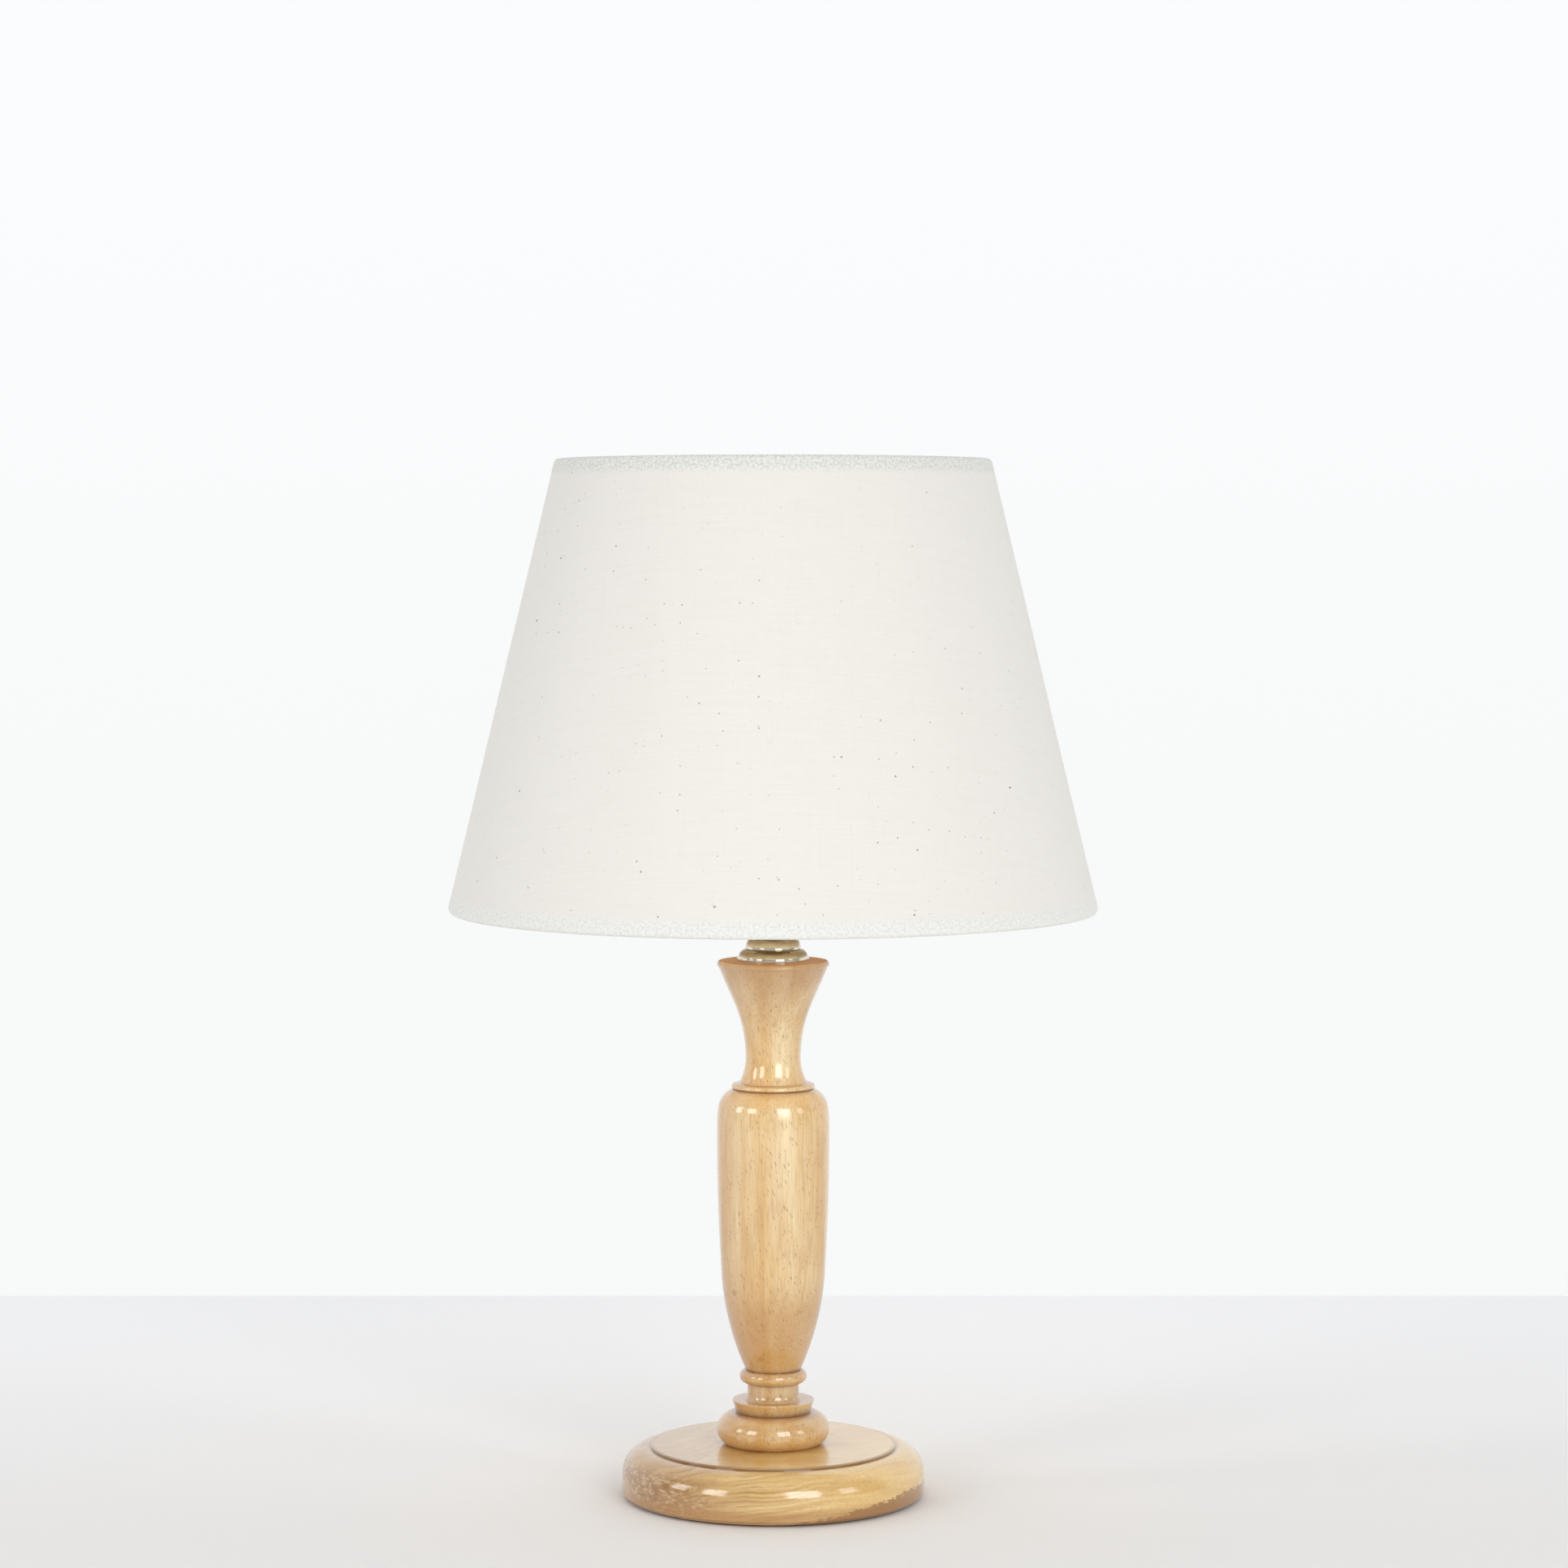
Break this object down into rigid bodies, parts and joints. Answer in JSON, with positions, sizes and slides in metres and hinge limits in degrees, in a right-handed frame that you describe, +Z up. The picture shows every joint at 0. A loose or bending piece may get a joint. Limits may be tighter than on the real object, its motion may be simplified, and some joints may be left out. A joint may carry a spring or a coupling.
{
  "type": "column table lamp",
  "caption": "Table lamp with a turned wooden column on a round wooden foot, a stepped brass cap and a tapered linen shade.",
  "frame": {"origin": "middle of the felt pad's underside, on the surface that the lamp stands on", "axes": "+Z up along the column, +Y towards the back where the cord leaves, +X along the switch bar"},
  "size_m": [0.2987, 0.2987, 0.4798],
  "materials": {
    "felt": "dense dark green felt",
    "beech": "clear gloss lacquer over honey beech",
    "grommet": "moulded, beech coloured",
    "steel": "zinc plated",
    "brass": "polished and lacquered",
    "moulding": "black phenolic moulding",
    "switch": "moulded black",
    "contact_metal": "plain stamped brass",
    "ceramic": "glazed white ceramic",
    "linen": "plain weave linen with slubs",
    "lining": "white laminate sheet",
    "frame_wire": "white powder coated wire",
    "opal_glass": "opal",
    "bulb_metal": "rolled bright",
    "bulb_insulator": "black glass insulator"
  },
  "bodies": {
    "stand": {"felt_pad": "felt", "base": "beech", "cord_grommet": "grommet", "column": "beech", "threaded_tube": "steel", "tube_washer": "steel", "tube_nut": "steel", "stepped_cap": "brass", "top_nut": "brass", "holder_cup": "brass", "grub_screw": "steel", "switch_block": "moulding", "terminals": "contact_metal", "terminal_screws": "steel", "holder_skirt": "brass", "socket_liner": "ceramic", "screw_shell": "contact_metal", "centre_contact": "contact_metal", "contact_rivet": "contact_metal", "lower_pinch_ring": "brass"},
    "switch": {"switch_bar": "switch"},
    "clamp": {"upper_pinch_ring": "brass"},
    "shade": {"shade_cover": "linen", "shade_lining": "lining", "shade_top_wire": "frame_wire", "shade_low_wire": "frame_wire", "fitter_arms": "frame_wire", "fitter_ring": "frame_wire"},
    "bulb_tip": {"bulb_contact": "bulb_metal"},
    "bulb": {"bulb_glass": "opal_glass", "bulb_cap": "bulb_metal", "bulb_insulator": "bulb_insulator"}
  },
  "joints": [
    {"name": "switch_push", "type": "slide", "parent": "stand", "child": "switch", "axis": [1, 0, 0], "range_m": [0, 0.006]},
    {"name": "clamp_lift", "type": "slide", "parent": "stand", "child": "clamp", "axis": [0, 0, 1], "range_m": [0, 0.009]},
    {"name": "shade_turn", "type": "hinge", "parent": "stand", "child": "shade", "pos_m": [0, 0, 0.314], "axis": [0, 0, 1], "continuous": true},
    {"name": "bulb_travel", "type": "slide", "parent": "stand", "child": "bulb_tip", "axis": [0, 0, 1], "range_m": [0, 0.0217]},
    {"name": "bulb_turn", "type": "hinge", "parent": "bulb_tip", "child": "bulb", "pos_m": [0, 0, 0.3057], "axis": [0, 0, 1], "range_deg": [0, 2160]}
  ],
  "couplings": [
    {"joint": "bulb_turn", "follows": "bulb_travel", "rad_per_m": 1731.4}
  ]
}
